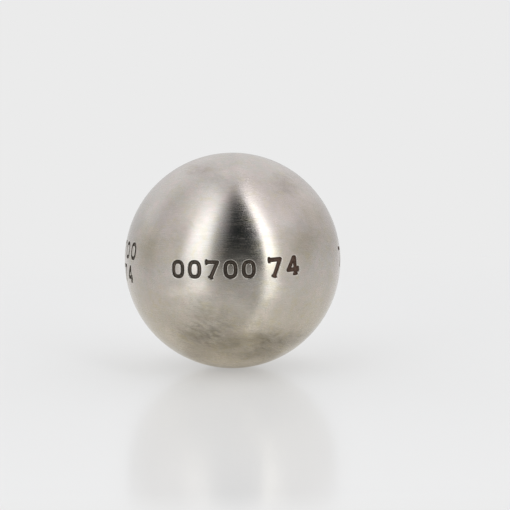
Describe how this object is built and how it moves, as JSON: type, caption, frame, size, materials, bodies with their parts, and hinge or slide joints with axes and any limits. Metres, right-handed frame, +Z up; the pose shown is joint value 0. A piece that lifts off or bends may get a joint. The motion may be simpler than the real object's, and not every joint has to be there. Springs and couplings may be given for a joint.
{
  "type": "petanque boule",
  "caption": "Hollow steel petanque boule: half shells with bevelled rims, joined by a full-depth weld that is turned flush with the ball.",
  "frame": {"origin": "centre of the ball", "axes": "+Z up when the marks stand upright, -Y out through the middle of the front half shell, which carries the marks, +X to the right of someone who reads them; the weld lies in the plane y = 0"},
  "size_m": [0.074, 0.074, 0.074],
  "materials": {
    "shell_steel": "satin",
    "weld_steel": "satin"
  },
  "bodies": {
    "root": {"front_half_shell": "shell_steel", "rear_half_shell": "shell_steel", "weld_seam": "weld_steel"}
  },
  "joints": []
}
